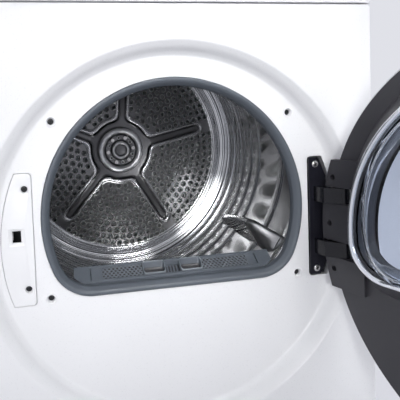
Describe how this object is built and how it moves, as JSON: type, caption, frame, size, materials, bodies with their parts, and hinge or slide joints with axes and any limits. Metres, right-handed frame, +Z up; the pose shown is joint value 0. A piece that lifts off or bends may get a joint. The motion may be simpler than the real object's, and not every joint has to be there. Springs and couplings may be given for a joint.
{
  "type": "clothes dryer",
  "caption": "Front-loading clothes dryer: white cabinet, round side-hung door shown open, perforated steel drum, lint filter and heat pump inside.",
  "frame": {"origin": "on the floor under the middle of the cabinet", "axes": "+X to the right seen from the front, +Y from the front panel into the machine, +Z up"},
  "size_m": [0.6931, 1.1216, 0.845],
  "materials": {
    "white_enamel": "gloss",
    "white_plastic": "gloss",
    "galvanised": "satin",
    "stainless": "polished",
    "screw_steel": "polished",
    "slate_plastic": "satin",
    "charcoal_plastic": "satin",
    "black_plastic": "matt",
    "navy_paint": "satin",
    "chromed": "polished",
    "clear_bowl": "gloss",
    "dark_glass": "gloss",
    "felt": "matt",
    "rubber": "matt",
    "mesh_fabric": "matt",
    "motor_casting": "satin",
    "copper_brown": "satin",
    "black_steel": "satin",
    "worktop_board": "satin",
    "grey_plastic": "matt"
  },
  "bodies": {
    "cabinet": {"front_panel": "white_enamel", "side_panel_left": "white_enamel", "side_panel_right": "white_enamel", "top_cover": "worktop_board", "rear_panel": "galvanised", "rear_air_duct": "galvanised", "base_tray": "grey_plastic", "levelling_feet": "rubber", "kick_panel": "white_plastic", "control_fascia": "white_plastic", "display_window": "dark_glass", "mouth_ring": "slate_plastic", "front_bulkhead": "galvanised", "drum_front_felt": "felt", "roller_axles": "screw_steel", "filter_housing": "slate_plastic", "filler_strip": "white_plastic", "cabinet_screws": "screw_steel", "latch_case": "black_plastic", "hinge_plate": "navy_paint", "hinge_arms": "black_steel", "shaft_bearing": "screw_steel", "drum_belt": "rubber", "drive_motor": "motor_casting", "fan_housing": "grey_plastic", "idler_spring": "screw_steel", "evaporator": "galvanised", "condenser": "galvanised", "compressor": "black_steel", "refrigerant_tubes": "copper_brown", "condensate_pump": "grey_plastic"},
    "door": {"door_frame": "charcoal_plastic", "door_outer_ring": "white_plastic", "door_cover": "dark_glass", "door_window_ring": "chromed", "door_bowl": "clear_bowl", "door_hook": "screw_steel", "hinge_pins": "screw_steel", "door_screws": "screw_steel"},
    "drum": {"drum_shell": "stainless", "drum_rear": "stainless", "drum_hub": "stainless", "hub_screws": "screw_steel", "drum_shaft": "screw_steel", "drum_lifters": "stainless"},
    "motor_rotor": {"motor_shaft": "screw_steel", "fan_wheel": "grey_plastic"},
    "tension_arm": {"idler_arm": "galvanised"},
    "tension_wheel": {"idler_pulley": "black_plastic"},
    "left_roller": {"drum_roller_left": "rubber"},
    "right_roller": {"drum_roller_right": "rubber"},
    "selector": {"program_knob": "chromed"},
    "power_key": {"power_button": "white_plastic"},
    "start_key": {"start_button": "white_plastic"},
    "drawer": {"water_container": "white_plastic"},
    "lint_filter": {"lint_filter_cover": "slate_plastic", "lint_filter_frame": "slate_plastic", "lint_filter_mesh": "mesh_fabric"},
    "flap": {"service_flap": "white_plastic"},
    "catch": {"latch_catch": "screw_steel"}
  },
  "joints": [
    {"name": "door_hinge", "type": "hinge", "parent": "cabinet", "child": "door", "pos_m": [0.237, -0.33, 0.394], "axis": [0, 0, 1], "range_deg": [-106, 20]},
    {"name": "drum_spin", "type": "hinge", "parent": "cabinet", "child": "drum", "pos_m": [0, 0, 0.48], "axis": [0, 1, 0], "continuous": true},
    {"name": "motor_spin", "type": "hinge", "parent": "cabinet", "child": "motor_rotor", "pos_m": [0.205, 0, 0.112], "axis": [0, 1, 0], "continuous": true},
    {"name": "left_roller_spin", "type": "hinge", "parent": "cabinet", "child": "left_roller", "pos_m": [-0.18314, -0.216, 0.21844], "axis": [0, 1, 0], "continuous": true},
    {"name": "right_roller_spin", "type": "hinge", "parent": "cabinet", "child": "right_roller", "pos_m": [0.18314, -0.216, 0.21844], "axis": [0, 1, 0], "continuous": true},
    {"name": "tension_arm_pivot", "type": "hinge", "parent": "cabinet", "child": "tension_arm", "pos_m": [0.13399, -0.084, 0.07164], "axis": [0, 1, 0], "range_deg": [-8, 0], "stiffness_Nm_per_rad": 2, "springref_deg": 8.59},
    {"name": "tension_wheel_spin", "type": "hinge", "parent": "tension_arm", "child": "tension_wheel", "pos_m": [0.10399, -0.072, 0.11664], "axis": [0, 1, 0], "continuous": true},
    {"name": "selector_turn", "type": "hinge", "parent": "cabinet", "child": "selector", "pos_m": [-0.028, -0.32, 0.77], "axis": [0, 1, 0], "continuous": true},
    {"name": "power_press", "type": "slide", "parent": "cabinet", "child": "power_key", "axis": [0, 1, 0], "range_m": [0, 0.0015], "stiffness_N_per_m": 600, "springref_m": -0.001},
    {"name": "start_press", "type": "slide", "parent": "cabinet", "child": "start_key", "axis": [0, 1, 0], "range_m": [0, 0.0015], "stiffness_N_per_m": 600, "springref_m": -0.001},
    {"name": "drawer_slide", "type": "slide", "parent": "cabinet", "child": "drawer", "axis": [0, -1, 0], "range_m": [0, 0.4]},
    {"name": "filter_lift", "type": "slide", "parent": "cabinet", "child": "lint_filter", "axis": [0, 0, 1], "range_m": [0, 0.155]},
    {"name": "flap_hinge", "type": "hinge", "parent": "cabinet", "child": "flap", "pos_m": [-0.17, -0.3075, 0.029], "axis": [1, 0, 0], "range_deg": [0, 85]},
    {"name": "catch_pivot", "type": "hinge", "parent": "cabinet", "child": "catch", "pos_m": [-0.237, -0.2665, 0.408], "axis": [0, 0, 1], "range_deg": [-10, 0], "stiffness_Nm_per_rad": 0.2, "springref_deg": 5.73}
  ],
  "couplings": [
    {"joint": "motor_spin", "follows": "drum_spin", "ratio": 21.222},
    {"joint": "left_roller_spin", "follows": "drum_spin", "ratio": -8.3824},
    {"joint": "right_roller_spin", "follows": "drum_spin", "ratio": -8.3824},
    {"joint": "tension_wheel_spin", "follows": "drum_spin", "ratio": -16.657}
  ]
}
